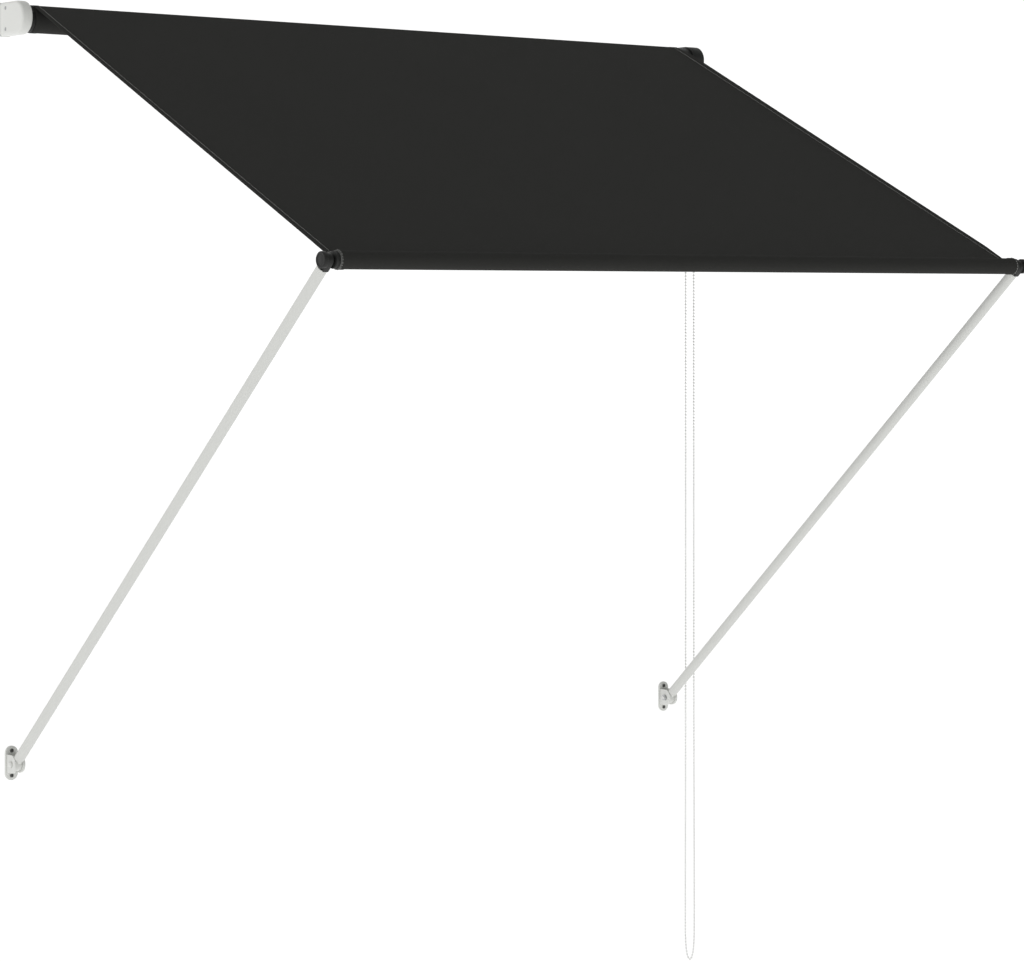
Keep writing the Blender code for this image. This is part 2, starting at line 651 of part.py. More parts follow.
def chain_route():
    """The chain's centre line, in (y, z) on the wheel's plane: from the connector up over the
    wheel, down the front strand, round the free loop and up the rear strand again."""
    rear = -ROLLER_OUT + CHAIN_PITCH_RADIUS
    route = [(rear, CONNECTOR_TOP + GAP), (rear, -0.025)]
    route += arc((-ROLLER_OUT, 0), CHAIN_PITCH_RADIUS, 0, 180, 8)
    route += [(-0.0582, -0.025), (-0.0582, -0.060), (-0.0582, -0.300), (-0.0584, -0.700),
              (-0.0585, -1.100), (-0.0590, -1.400), (-0.0598, -1.600), (-0.0600, -1.700),
              (-0.0592, -1.752), (-0.0566, -1.776), (-0.0520, -1.790), (-0.0462, -1.795),
              (-0.0404, -1.790), (-0.0358, -1.776), (-0.0334, -1.752), (-0.0330, -1.700),
              (-0.0332, -1.600), (-0.0336, -1.400), (-0.0338, -1.100), (-0.0338, -0.700),
              (-0.0338, -0.300), (rear, CONNECTOR_TOP - CONNECTOR_LENGTH - GAP)]
    return [Vector((CHAIN_X, y, z)) for y, z in route]


def chain(parts, mat):
    """The endless bead chain, closed by a small moulded connector behind the wheel."""
    wire_along("bead_chain", smooth_through(chain_route(), 4 * CHAIN_RADIUS), CHAIN_RADIUS,
               parts, mat)
    place = Matrix.Translation((CHAIN_X, -ROLLER_OUT + CHAIN_PITCH_RADIUS, CONNECTOR_TOP))
    length = CONNECTOR_LENGTH
    tip = 0.62 * CONNECTOR_RADIUS
    turned("chain_connector",
           [(0, 0), (tip, 0), (CONNECTOR_RADIUS, -tip), (CONNECTOR_RADIUS, tip - length),
            (tip, -length), (0, -length)],
           parts, mat, place, sides=20)


# The slope of the canvas, which leaves the roll at a tangent and points at the bar's axis.
BAR_REACH = BAR_AXIS - ROLLER_AXIS
CANVAS_OFFSET = ROLL_RADIUS + GAP + FABRIC_THICKNESS / 2
FABRIC_SLOPE = math.atan2(-BAR_REACH.z, -BAR_REACH.y) + math.asin(CANVAS_OFFSET / BAR_REACH.length)
SLOPE_OUT = Vector((0, -math.cos(FABRIC_SLOPE), -math.sin(FABRIC_SLOPE)))
SLOPE_UP = Vector((0, -math.sin(FABRIC_SLOPE), math.cos(FABRIC_SLOPE)))
CANOPY_START = ROLLER_AXIS + CANVAS_OFFSET * SLOPE_UP
SLEEVE_SEAM = BAR_AXIS - SLEEVE_NECK * SLOPE_OUT

clear_scene()
PARTS = new_collection("canvas_awning")
CUTTERS = new_collection("cutters")
PAINT = white_paint()
PLASTIC = black_plastic()
CLOTH = canvas()
TUBE_METAL = aluminium()
BOLT_METAL = steel()

ROLLER_EMPTY = joint_empty("roller_axis", ROLLER_AXIS, PARTS)
CANOPY_EMPTY = joint_empty("canopy_axis", ROLLER_AXIS, PARTS)
FOOT_EMPTY = joint_empty("arm_axis", FOOT_AXIS, PARTS)
BAR_EMPTY = joint_empty("bar_axis", BAR_AXIS, PARTS)

left_bracket(PARTS, CUTTERS, PAINT, BOLT_METAL)
right_bracket(PARTS, CUTTERS, PAINT, PLASTIC, BOLT_METAL)
roller(PARTS, PLASTIC, TUBE_METAL, CLOTH, BOLT_METAL, ROLLER_EMPTY)
canopy(PARTS, CLOTH, CANOPY_EMPTY)
front_bar(PARTS, TUBE_METAL, CLOTH, PLASTIC, BAR_EMPTY)
arms(PARTS, CUTTERS, PAINT, PLASTIC, FOOT_EMPTY)
wall_feet(PARTS, CUTTERS, PAINT, BOLT_METAL)
chain(PARTS, chain_plastic())
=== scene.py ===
"""A wall-mounted drop-arm awning: dark canvas on a chain-driven roller, carried by two white arms."""
import json
import math

import bmesh
import bpy
import numpy as np
from mathutils import Matrix, Vector

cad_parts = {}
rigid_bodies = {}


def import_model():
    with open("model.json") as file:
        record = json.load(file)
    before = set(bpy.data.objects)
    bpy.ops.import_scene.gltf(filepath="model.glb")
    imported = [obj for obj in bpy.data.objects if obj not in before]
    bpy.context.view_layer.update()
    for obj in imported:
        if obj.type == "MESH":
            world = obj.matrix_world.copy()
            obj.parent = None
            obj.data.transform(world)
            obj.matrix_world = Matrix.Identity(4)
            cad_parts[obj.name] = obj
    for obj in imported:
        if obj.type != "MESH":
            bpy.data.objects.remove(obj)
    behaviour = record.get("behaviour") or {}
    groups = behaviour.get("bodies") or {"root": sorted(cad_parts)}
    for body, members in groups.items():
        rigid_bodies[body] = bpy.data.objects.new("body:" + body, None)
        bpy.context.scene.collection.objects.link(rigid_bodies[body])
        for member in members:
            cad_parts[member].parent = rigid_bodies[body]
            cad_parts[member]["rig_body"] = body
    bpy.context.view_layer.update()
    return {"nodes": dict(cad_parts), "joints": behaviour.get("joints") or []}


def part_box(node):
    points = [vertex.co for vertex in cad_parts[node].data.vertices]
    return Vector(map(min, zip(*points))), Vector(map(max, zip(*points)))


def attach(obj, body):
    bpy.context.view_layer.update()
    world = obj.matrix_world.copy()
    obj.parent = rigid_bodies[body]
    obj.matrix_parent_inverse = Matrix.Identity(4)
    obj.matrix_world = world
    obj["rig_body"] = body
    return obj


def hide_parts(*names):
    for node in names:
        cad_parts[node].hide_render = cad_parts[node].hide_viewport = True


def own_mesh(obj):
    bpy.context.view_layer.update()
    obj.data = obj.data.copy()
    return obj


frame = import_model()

nodes = frame["nodes"]
axes = {joint["name"]: Vector(joint["pos_m"]) for joint in frame["joints"]}
roller_axis = axes["roller_spin"]
bar_axis = axes["bar_turn"]
foot_axis = axes["arm_swing"]

# ---------------------------------------------------------------- the place it is seen from
# A level camera to the left of the awning, far enough back for a calm perspective, with the
# lens moved down so that walls and hanging chain stay upright.
camera_place = Vector((-3.3046, -4.7391, -0.4777))
camera_turn = math.radians(-37.656)
lens_mm = 109.21
lens_drop = -0.1772

camera_data = bpy.data.cameras.new("camera")
camera_data.lens = lens_mm
camera_data.sensor_width = 36
camera_data.sensor_fit = "HORIZONTAL"
camera_data.shift_y = lens_drop
camera_data.clip_end = 60
camera = bpy.data.objects.new("camera", camera_data)
camera.location = camera_place
camera.rotation_euler = (math.pi / 2, 0, camera_turn)
bpy.context.scene.collection.objects.link(camera)
bpy.context.scene.camera = camera


# ---------------------------------------------------------------- white wall plates
# Steel plates screwed to the wall, with a forward web that carries the roller's pin. They are
# pressed, bent and powder coated white before the plastic covers go on.
class Wire:
    """A socket of a finish. Sums written with it become Math nodes."""

    def __init__(self, finish, socket):
        self.finish = finish
        self.socket = socket

    def sum(self, operation, first, second=0.0):
        return self.finish.node("ShaderNodeMath", {"operation": operation}, {0: first, 1: second})

    def __add__(self, other):
        return self.sum("ADD", self, other)

    def __radd__(self, other):
        return self.sum("ADD", other, self)

    def __sub__(self, other):
        return self.sum("SUBTRACT", self, other)

    def __rsub__(self, other):
        return self.sum("SUBTRACT", other, self)

    def __mul__(self, other):
        return self.sum("MULTIPLY", self, other)

    def __rmul__(self, other):
        return self.sum("MULTIPLY", other, self)

    def __truediv__(self, other):
        return self.sum("DIVIDE", self, other)

    def sine(self):
        return self.sum("SINE", self)

    def size(self):
        return self.sum("ABSOLUTE", self)

    def clipped(self):
        return self.sum("MINIMUM", self.sum("MAXIMUM", self, 0.0), 1.0)

    def angle_from(self, other):
        return self.sum("ARCTAN2", self, other)


class Finish:
    """One material: a Principled shader with its fixed values, and the nodes that feed it."""

    def __init__(self, name, slot, **fixed):
        self.material = bpy.data.materials.new(name)
        self.material.use_nodes = True
        self.slot = slot
        self.tree = self.material.node_tree
        self.shader = self.tree.nodes["Principled BSDF"]
        for socket, value in fixed.items():
            self.feed(socket.replace("_", " "), value)

    def feed(self, socket, value):
        self.put(self.shader.inputs[socket], value)

    def put(self, socket, value):
        if isinstance(value, Wire):
            self.tree.links.new(value.socket, socket)
        elif isinstance(value, tuple) and len(value) == 3 and socket.type == "RGBA":
            socket.default_value = (*value, 1.0)
        else:
            socket.default_value = value

    def node(self, kind, settings, sockets, out=0):
        made = self.tree.nodes.new(kind)
        for name, value in settings.items():
            if name == "stops":
                for place, shade in value[2:]:
                    made.color_ramp.elements.new(place)
                for element, (place, shade) in zip(made.color_ramp.elements, value):
                    element.position = place
                    element.color = (shade, shade, shade, 1)
            else:
                setattr(made, name, value)
        for key, value in sockets.items():
            self.put(made.inputs[key], value)
        return Wire(self, made.outputs[out])

    def place(self):
        """Where a point lies on the piece as it was made: one wire each for x, y and z."""
        spot = self.node("ShaderNodeTexCoord", {}, {}, out=3)
        return [self.node("ShaderNodeSeparateXYZ", {}, {0: spot}, out=axis) for axis in range(3)]

    def grain(self, scale, detail=3.0, roughness=0.5, stretch=(1.0, 1.0, 1.0)):
        """Cloudy noise, about 0.5 on average, finer as the scale rises."""
        spot = self.node("ShaderNodeTexCoord", {}, {}, out=3)
        pulled = self.node("ShaderNodeVectorMath", {"operation": "MULTIPLY"}, {0: spot, 1: stretch})
        sockets = {"Vector": pulled, "Scale": scale, "Detail": detail, "Roughness": roughness}
        return self.node("ShaderNodeTexNoise", {}, sockets)

    def blend(self, share, first, second):
        return self.node("ShaderNodeMix", {"data_type": "RGBA"}, {0: share, 6: first, 7: second},
                         out=2)

    def bump(self, height, depth, strength=1.0, under=None):
        sockets = {"Strength": strength, "Distance": depth, "Height": height}
        if under:
            sockets["Normal"] = under
        return self.node("ShaderNodeBump", {}, sockets)


def powder_coat(name="white_powder_coat", tone=1.0, peel_depth=0.00006):
    """White polyester powder: a fine orange peel, faintly uneven gloss, a trace of dust."""
    finish = Finish(name, "white_powder_coat", IOR=1.5, Coat_Weight=0.0)
    cloud = finish.grain(9.0, detail=4.0)
    peel = finish.grain(1100.0, detail=2.0)
    swell = finish.grain(240.0, detail=2.0)
    dull = tuple(tone * part for part in (0.705, 0.712, 0.685))
    clean = tuple(tone * part for part in (0.745, 0.75, 0.725))
    finish.feed("Base Color", finish.blend(cloud, dull, clean))
    finish.feed("Roughness", 0.36 + cloud * 0.10 + peel * 0.06)
    rise = finish.bump(swell, 0.00012, strength=0.35)
    finish.feed("Normal", finish.bump(peel, peel_depth, strength=0.5, under=rise))
    return finish


def coat(piece, *finishes):
    """Gives a piece its finishes in place of any that it has."""
    piece.data.materials.clear()
    for finish in finishes:
        piece.data.materials.append(finish.material)
    return piece


def smooth(mesh, angle=32):
    mesh.shade_smooth()
    mesh.set_sharp_from_angle(angle=math.radians(angle))


white = powder_coat()
for name in ("wall_plate_left", "wall_plate_right"):
    coat(nodes[name], white)

# ---------------------------------------------------------------- left end cover
# A white moulded cap, square against the wall plate and half round in front, pushed over the
# plate's web and held from the side by two small screws. It hides the idler pin.
cover_round = 0.0048
across_frame = Matrix(((0, 0, 1, 0), (1, 0, 0, 0), (0, 1, 0, 0), (0, 0, 0, 1)))


def across(point=(0, 0, 0), side=1):
    """Placing of a piece drawn in (y, z) and turned or raised along x, outward on that side."""
    turn = Matrix() if side > 0 else Matrix.Rotation(math.pi, 4, "X")
    return Matrix.Translation(point) @ across_frame @ turn


def new_piece(name, mesh, matrix=None):
    piece = bpy.data.objects.new(name, mesh)
    bpy.context.scene.collection.objects.link(piece)
    if matrix:
        mesh.transform(matrix)
    smooth(mesh)
    return piece


def raised(name, outline, low, high, rounding=0.0, matrix=None, steps=3):
    """A flat outline raised between two heights, with both rims rounded over."""
    shape = bmesh.new()
    floor = [shape.verts.new((x, y, low)) for x, y in outline]
    roof = [shape.verts.new((x, y, high)) for x, y in outline]
    shape.faces.new(list(reversed(floor)))
    shape.faces.new(roof)
    count = len(outline)
    for one in range(count):
        two = (one + 1) % count
        shape.faces.new((floor[one], floor[two], roof[two], roof[one]))
    bmesh.ops.recalc_face_normals(shape, faces=shape.faces)
    if rounding:
        rims = [edge for edge in shape.edges if edge.verts[0].co.z == edge.verts[1].co.z]
        uprights = [edge for edge in shape.edges
                    if edge not in rims and edge.calc_face_angle(0) > math.radians(40)]
        bmesh.ops.bevel(shape, geom=rims + uprights, offset=rounding, segments=steps,
                        profile=0.5, affect="EDGES", clamp_overlap=True)
    mesh = bpy.data.meshes.new(name)
    shape.to_mesh(mesh)
    shape.free()
    return new_piece(name, mesh, matrix)


def arc(centre, radius, start, end, count):
    """Points round a circle's arc, from one angle to another in degrees."""
    angles = [math.radians(start + (end - start) * step / count) for step in range(count + 1)]
    return [(centre[0] + radius * math.cos(a), centre[1] + radius * math.sin(a)) for a in angles]


def d_shape(back, front, height, count=48):
    """Square at the wall and half round in front, in (y, z)."""
    radius = height / 2
    return arc((-front + radius, 0), radius, 90, 270, count) + [(-back, -radius), (-back, radius)]


def fuse(piece, others, operation="UNION"):
    """Joins other solids to a piece, or cuts them away, and clears them off the bench."""
    for other in others:
        step = piece.modifiers.new("fuse", "BOOLEAN")
        step.operation = operation
        step.solver = "EXACT"
        step.object = other
    bpy.context.view_layer.update()
    seen = piece.evaluated_get(bpy.context.evaluated_depsgraph_get())
    mesh = bpy.data.meshes.new_from_object(seen)
    piece.modifiers.clear()
    piece.data = mesh
    for other in others:
        bpy.data.objects.remove(other)
    smooth(mesh)
    return piece


def cut(piece, *cutters):
    return fuse(piece, cutters, "DIFFERENCE")


def turned(name, profile, matrix, count=72, closed=False):
    """A lathe-turned piece: (radius, height) points down its outer side, about local z."""
    verts = []
    faces = []
    rows = []
    for radius, height in profile:
        if radius < 1e-7:
            rows.append([len(verts)] * count)
            verts.append((0.0, 0.0, height))
        else:
            rows.append(list(range(len(verts), len(verts) + count)))
            verts += [(radius * math.cos(math.tau * k / count),
                       radius * math.sin(math.tau * k / count), height) for k in range(count)]
    pairs = list(zip(rows, rows[1:]))
    if closed:
        pairs.append((rows[-1], rows[0]))
    for upper, lower in pairs:
        for k in range(count):
            nxt = (k + 1) % count
            ring = [upper[k], lower[k], lower[nxt], upper[nxt]]
            face = [v for i, v in enumerate(ring) if v != ring[i - 1]]
            if len(face) > 2:
                faces.append(face)
    mesh = bpy.data.meshes.new(name)
    mesh.from_pydata(verts, [], faces)
    mesh.validate()
    return new_piece(name, mesh, matrix)


def box_piece(name, low, high):
    points = [(low[0], low[1]), (high[0], low[1]), (high[0], high[1]), (low[0], high[1])]
    return raised(name, points, low[2], high[2])


cover_low, cover_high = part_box("end_cover_left")
cover_height = cover_high.z - cover_low.z
cover_back = -cover_high.y
cover_front = -cover_low.y
cover_wall = 0.003
end_cover = raised("end_cover", d_shape(cover_back, cover_front, cover_height),
                   cover_low.x, cover_high.x, cover_round, across(), steps=5)
hollow = raised("hollow", d_shape(-0.01, cover_front - cover_wall, cover_height - 2 * cover_wall),
                cover_low.x + cover_wall, cover_high.x - cover_wall, 0.0, across())
pin_way_radius = 0.0062
pin_way_reach = 0.005
pin_way = turned("pin_way", [(0, pin_way_reach), (pin_way_radius, pin_way_reach),
                             (pin_way_radius, -pin_way_reach), (0, -pin_way_reach)],
                 across((cover_high.x, roller_axis.y, 0)), count=48)
screw_low, screw_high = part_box("cover_screw_left_upper")
screw_out = (screw_low.y + screw_high.y) / 2
screw_rise = (screw_low.z + screw_high.z) / 2
screw_spots = [(screw_out, screw_rise), (screw_out, -screw_rise)]
sinks = [turned("sink", [(0, 0.003), (0.0038, 0.001), (0.0032, 0.0), (0.0032, -0.0024), (0, -0.0024)],
                across((cover_low.x, y, z), -1), count=32) for y, z in screw_spots]
cut(end_cover, hollow, pin_way, *sinks)
coat(end_cover, white)
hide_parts("end_cover_left")
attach(end_cover, "wall")


# ---------------------------------------------------------------- cover screws
# Small zinc-plated self-tapping screws with a shallow domed head and a cross recess, two on
# the outer side of each end, sunk a little into the moulding.
def zinc_steel():
    """Thin bright zinc: a grey metal with faint cloudy passivation and fine tumbling marks."""
    finish = Finish("zinc_steel", "zinc_steel", Metallic=1.0)
    cloud = finish.grain(420.0, detail=4.0)
    marks = finish.grain(2600.0, detail=2.0)
    finish.feed("Base Color", finish.blend(cloud, (0.40, 0.41, 0.42), (0.62, 0.63, 0.64)))
    finish.feed("Roughness", 0.30 + cloud * 0.22)
    finish.feed("Normal", finish.bump(marks, 0.00002, strength=0.5))
    return finish


zinc = zinc_steel()
screw_head = [(0, 0.0007), (0.0010, 0.00062), (0.0019, 0.0003), (0.0026, -0.0002), (0.0028, -0.0006),
              (0.0028, -0.0017), (0.0014, -0.0017), (0.0014, -0.0085), (0, -0.0095)]
for name in ("left_upper", "left_lower", "right_upper", "right_lower"):
    node = "cover_screw_" + name
    low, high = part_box(node)
    side = 1 if low.x > 0 else -1
    face = cover_low.x if side < 0 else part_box("chain_housing")[1].x
    seat = across((face, (low.y + high.y) / 2, (low.z + high.z) / 2), side)
    screw = turned(node + "_zinc", screw_head, seat, count=28)
    slots = []
    for turn in (35, 125):
        slot = box_piece("slot", (-0.0016, -0.0003, -0.0007), (0.0016, 0.0003, 0.002))
        slot.data.transform(seat @ Matrix.Rotation(math.radians(turn), 4, "Z"))
        slots.append(slot)
    cut(screw, *slots)
    coat(screw, zinc)
    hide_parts(node)
    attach(screw, "wall")
for name in ("idler_pin", "wheel_pin", "clutch_spring"):
    coat(nodes[name], zinc)


# ---------------------------------------------------------------- chain housing
# A black moulded shell at the right end, round in front about the roller's axis, in which the
# chain wheel turns. The chain leaves by a slot below; a flat back closes the inner side.
def black_moulding():
    """Black nylon with a fine spark-eroded grain, rubbed slightly greyer in places."""
    finish = Finish("black_plastic", "black_plastic", IOR=1.46, Specular_IOR_Level=0.38)
    cloud = finish.grain(60.0, detail=4.0)
    spark = finish.grain(2400.0, detail=2.0, roughness=0.7)
    finish.feed("Base Color", finish.blend(cloud, (0.009, 0.0093, 0.0088), (0.016, 0.0163, 0.0155)))
    finish.feed("Roughness", 0.46 + cloud * 0.16)
    finish.feed("Normal", finish.bump(spark, 0.00005, strength=0.45))
    return finish


black = black_moulding()
housing_low, housing_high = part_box("chain_housing")
housing_height = housing_high.z - housing_low.z
housing_front = -housing_low.y
housing_back = -housing_high.y
chain_x = (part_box("bead_chain")[0].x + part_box("bead_chain")[1].x) / 2
housing = raised("chain_shell", d_shape(housing_back, housing_front, housing_height),
                 housing_low.x, housing_high.x, 0.0030, across(), steps=4)
hollow = raised("hollow", d_shape(-0.01, housing_front - cover_wall, housing_height - 2 * cover_wall),
                housing_low.x - 0.01, housing_high.x - cover_wall, 0.0, across())
slot = box_piece("slot", (chain_x - 0.0042, roller_axis.y - 0.0172, -housing_height),
                 (chain_x + 0.0042, roller_axis.y + 0.0172, -housing_height / 4))
low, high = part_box("cover_screw_right_upper")
spots = [((low.y + high.y) / 2, (low.z + high.z) / 2 * sign) for sign in (1, -1)]
sinks = [turned("sink", [(0, 0.003), (0.0038, 0.001), (0.0032, 0.0), (0.0032, -0.0022), (0, -0.0022)],
                across((housing_high.x, y, z)), count=32) for y, z in spots]
cut(housing, hollow, slot, *sinks)
coat(housing, black)
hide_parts("chain_housing")
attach(housing, "wall")
coat(nodes["housing_back"], black)

# ---------------------------------------------------------------- roller tube, plugs and wheel
# An extruded aluminium tube runs between a plain idler plug and the plug that the chain wheel
# drives. Both plugs are black and have a wide flange that guides the canvas.
flange_radius = 0.0230


def bare_aluminium():
    """Extruded tube: drawn lines along its length and a soft grey lustre."""
    finish = Finish("aluminium_tube", "aluminium_tube", Metallic=1.0)
    lines = finish.grain(700.0, detail=2.0, stretch=(0.01, 1.0, 1.0))
    finish.feed("Base Color", finish.blend(lines, (0.52, 0.52, 0.53), (0.66, 0.66, 0.67)))
    finish.feed("Roughness", 0.28 + lines * 0.2)
    finish.feed("Normal", finish.bump(lines, 0.00003, strength=0.3))
    return finish


aluminium = bare_aluminium()
coat(nodes["roller_tube"], aluminium)
coat(nodes["chain_wheel"], black)
for node, side in (("idler_plug", -1), ("drive_plug", 1)):
    low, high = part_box(node)
    outer = high.x if side > 0 else -low.x
    inner = 0.72155
    plug = turned(node + "_moulded",
                  [(0.0090, outer), (0.0165, outer), (0.0172, outer - 0.0006),
                   (0.0180, outer - 0.0006), (flange_radius - 0.0012, outer),
                   (flange_radius - 0.0003, outer - 0.0004), (flange_radius, outer - 0.0012),
                   (flange_radius, inner + 0.0008), (flange_radius - 0.0006, inner + 0.0002),
                   (0.0172, inner), (0.0172, inner - 0.028), (0.0160, inner - 0.030),
                   (0.0090, inner - 0.030)],
                  across((0, roller_axis.y, 0), side), count=96, closed=True)
    coat(plug, black)
    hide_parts(node)
    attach(plug, "roller")


# ---------------------------------------------------------------- wound canvas
# The unused canvas lies wound on the tube in tight turns. Its folded side hems are double
# thickness, so the roll stands a little proud over its last centimetre at each end.
hem_width = 0.0115
canvas_thickness = 0.0006
roll_low, roll_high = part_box("fabric_roll")
half_width = roll_high.x
roll_radius = (roll_high.z - roll_low.z) / 2
yarn_pitch = 0.00062


def canvas(name, along, highlight_from=9.0):
    """Anthracite acrylic canvas in a tight plain weave, its two yarn directions given by x and
    by the wire that along() makes from the place. Beyond the given edge distance the colour turns pale: a
    painted highlight on the cut ends."""
    finish = Finish(name, "anthracite_canvas", Specular_IOR_Level=0.06)
    x, y, z = finish.place()
    run = along(x, y, z)
    warp = (x * (math.tau / yarn_pitch)).sine()
    weft = (run * (math.tau / yarn_pitch)).sine()
    weave = warp * weft * 0.5 + 0.5
    warp_streak = finish.grain(1.0, detail=2.0, stretch=(900.0, 3.0, 3.0))
    weft_streak = finish.grain(1.0, detail=2.0, stretch=(2.5, 700.0, 700.0))
    cloud = finish.grain(3.2, detail=5.0, roughness=0.6)
    shade = weave * 0.35 + warp_streak * 0.25 + weft_streak * 0.20 + cloud * 0.20
    # Past the given x the colour blends towards pale grey: a painted highlight along the cut ends of the
    # sleeve.
    painted_highlight = ((x.size() - highlight_from) * 1200.0).clipped()
    dyed = finish.blend(shade.clipped(), (0.0270, 0.0270, 0.0255), (0.0420, 0.0420, 0.0400))
    finish.feed("Base Color", finish.blend(painted_highlight * 0.8, dyed, (0.17, 0.17, 0.165)))
    finish.feed("Roughness", 0.86 + weave * 0.08)
    slub = finish.bump(warp_streak + weft_streak, 0.00012, strength=0.25)
    finish.feed("Normal", finish.bump(weave, 0.00018, strength=0.6, under=slub))
    return finish


def round_the_roller(x, y, z):
    return (z - roller_axis.z).angle_from(y - roller_axis.y) * roll_radius


def ring_solid(name, stations, cross, close_ends=True):
    """A long skin: the cross-section function gives a ring of points at each station along x."""
    rows = [cross(x) for x in stations]
    count = len(rows[0])
    verts = [(x, y, z) for x, row in zip(stations, rows) for y, z in row]
    faces = []
    for one in range(len(stations) - 1):
        base = one * count
        for k in range(count):
            nxt = (k + 1) % count
            faces.append((base + k, base + nxt, base + count + nxt, base + count + k))
    if close_ends:
        faces.append(tuple(reversed(range(count))))
        faces.append(tuple(range(len(verts) - count, len(verts))))
    mesh = bpy.data.meshes.new(name)
    mesh.from_pydata(verts, [], faces)
    shape = bmesh.new()
    shape.from_mesh(mesh)
    bmesh.ops.recalc_face_normals(shape, faces=shape.faces)
    shape.to_mesh(mesh)
    shape.free()
    return new_piece(name, mesh)


def ease(value):
    value = min(max(value, 0.0), 1.0)
    return value * value * (3 - 2 * value)


def roll_swell(x):
    """How far the hems lift the roll's surface near its two ends."""
    inside = half_width - abs(x)
    return 0.0006 * (1 - ease((inside - hem_width) / 0.004))


def roll_skin(x):
    edge = 0.0004 * (1 - ease((half_width - abs(x)) / 0.0006))
    rows = []
    for k in range(96):
        angle = math.tau * k / 96
        wave = 0.00010 * math.sin(3 * angle + 21 * x) + 0.00006 * math.sin(5 * angle - 47 * x)
        radius = roll_radius - 0.0007 + roll_swell(x) + wave - edge
        rows.append((roller_axis.y + radius * math.cos(angle), radius * math.sin(angle)))
    return rows


roll_stations = sorted({sign * (half_width - inset)
                        for inset in (0.0, 0.0003, 0.0008, 0.004, 0.008, hem_width, 0.0135, 0.016, 0.02)
                        for sign in (-1, 1)} | {0.06 * k for k in range(-11, 12)})
roll = ring_solid("wound_canvas", roll_stations, roll_skin)
roll_canvas = canvas("canvas_on_roll", round_the_roller)
turns = Finish("canvas_roll_ends", "anthracite_canvas", Specular_IOR_Level=0.2)
x, y, z = turns.place()
out_from_axis = turns.node("ShaderNodeMath", {"operation": "SQRT"},
                           {0: (y - roller_axis.y) * (y - roller_axis.y) + z * z})
layers = (out_from_axis * (math.tau / canvas_thickness)).sine() * 0.5 + 0.5
turns.feed("Base Color", turns.blend(layers, (0.010, 0.010, 0.010), (0.034, 0.034, 0.032)))
turns.feed("Roughness", 0.85 + layers * 0.1)
turns.feed("Normal", turns.bump(layers, 0.0003, strength=0.8))
bore = turned("bore", [(0, 2), (0.01915, 2), (0.01915, -2), (0, -2)], across(roller_axis), count=72)
cut(roll, bore)
coat(roll, roll_canvas, turns)
for face in roll.data.polygons:
    face.material_index = 1 if abs(face.normal.x) > 0.9 else 0
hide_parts("fabric_roll")
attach(roll, "roller")

# ---------------------------------------------------------------- canopy
# One sheet of canvas, stretched from the top of the roll to the seam of the front sleeve. Its
# two side edges are folded under and sewn. It hangs a few millimetres between roll and bar.
reach = bar_axis - roller_axis
canvas_offset = roll_radius + 0.0009
slope = math.atan2(-reach.z, -reach.y) + math.asin(canvas_offset / reach.length)
slope_out = Vector((0, -math.cos(slope), -math.sin(slope)))
slope_up = Vector((0, -math.sin(slope), math.cos(slope)))
canopy_start = roller_axis + canvas_offset * slope_up
sleeve_neck = 0.026
sleeve_seam = bar_axis - sleeve_neck * slope_out
canopy_length = (sleeve_seam - canopy_start).length
middle_sag = 0.0040
edge_sag = 0.0002


def down_the_slope(x, y, z):
    return y * slope_out.y + z * slope_out.z


def sheet_height(across_share, run_share):
    """Height of the canvas over the straight line from roll to seam."""
    hang = math.sin(math.pi * run_share)
    body = 1 - across_share ** 4
    soft = 0.0007 * math.sin(9.0 * across_share + 2.2 * run_share) * hang
    soft += 0.0005 * math.sin(17.0 * across_share - 5.0 * run_share + 1.3) * hang
    return -(edge_sag + (middle_sag - edge_sag) * body) * hang + soft * body


def hem_pucker(x, run):
    """Faint gathers where the thread draws the hem together."""
    near = 1 - ease(abs(half_width - hem_width - abs(x)) / 0.016)
    return 0.00022 * near * math.sin(run * math.tau / 0.021 + 3 * math.sin(run * 9.0))


def hem_curl(x, run):
    """How far the free edge outside the stitching turns up, on the right more than the left."""
    outside = max(0.0, abs(x) - (half_width - 0.0105)) / 0.0105
    gone = run / canopy_length
    turn = 0.0042 - 0.0018 * gone if x > 0 else 0.0003
    held = min(1.0, run / 0.05, (canopy_length - run) / 0.05)
    return turn * outside * max(0.0, held)


def sheet_point(x, run, lift):
    height = sheet_height(x / half_width, run / canopy_length) + hem_pucker(x, run) + lift
    height += hem_curl(x, run)
    return Vector((x, 0, 0)) + canopy_start + slope_out * run + slope_up * height


def hem_lift(x):
    """The folded hem is two layers thick, so its top stands up one layer with a soft step."""
    inside = half_width - abs(x)
    step = canvas_thickness * 0.8 * (1 - ease((inside - hem_width) / 0.0012))
    return step


insets = [0.0, 0.0003, 0.0012, 0.004, 0.0075, 0.0095, 0.0105, hem_width, 0.0121, 0.0127, 0.0150, 0.020,
          0.03, 0.045]
sheet_xs = sorted({round(sign * (half_width - inset), 6) for inset in insets for sign in (-1, 1)}
                  | {round(0.028 * k, 6) for k in range(-23, 24)})
runs = [canopy_length * k / 150 for k in range(151)]
sheet_verts = []
for layer in (0, 1):
    for run in runs:
        for x in sheet_xs:
            edge = 0.35 * (1 - ease((half_width - abs(x)) / 0.0012))
            thick = canvas_thickness + 2 * hem_lift(x)
            lift = thick * (0.5 - 0.5 * edge) if layer == 0 else -thick * (0.5 - 0.5 * edge)
            sheet_verts.append(sheet_point(x, run, lift))
columns = len(sheet_xs)
layer_size = columns * len(runs)
sheet_faces = []
for row in range(len(runs) - 1):
    for column in range(columns - 1):
        a = row * columns + column
        quad = (a, a + columns, a + columns + 1, a + 1)
        sheet_faces.append(quad)
        sheet_faces.append(tuple(layer_size + v for v in reversed(quad)))
rim = [k for k in range(columns)]
rim += [row * columns + columns - 1 for row in range(1, len(runs))]
rim += [layer_size - 1 - k for k in range(1, columns)]
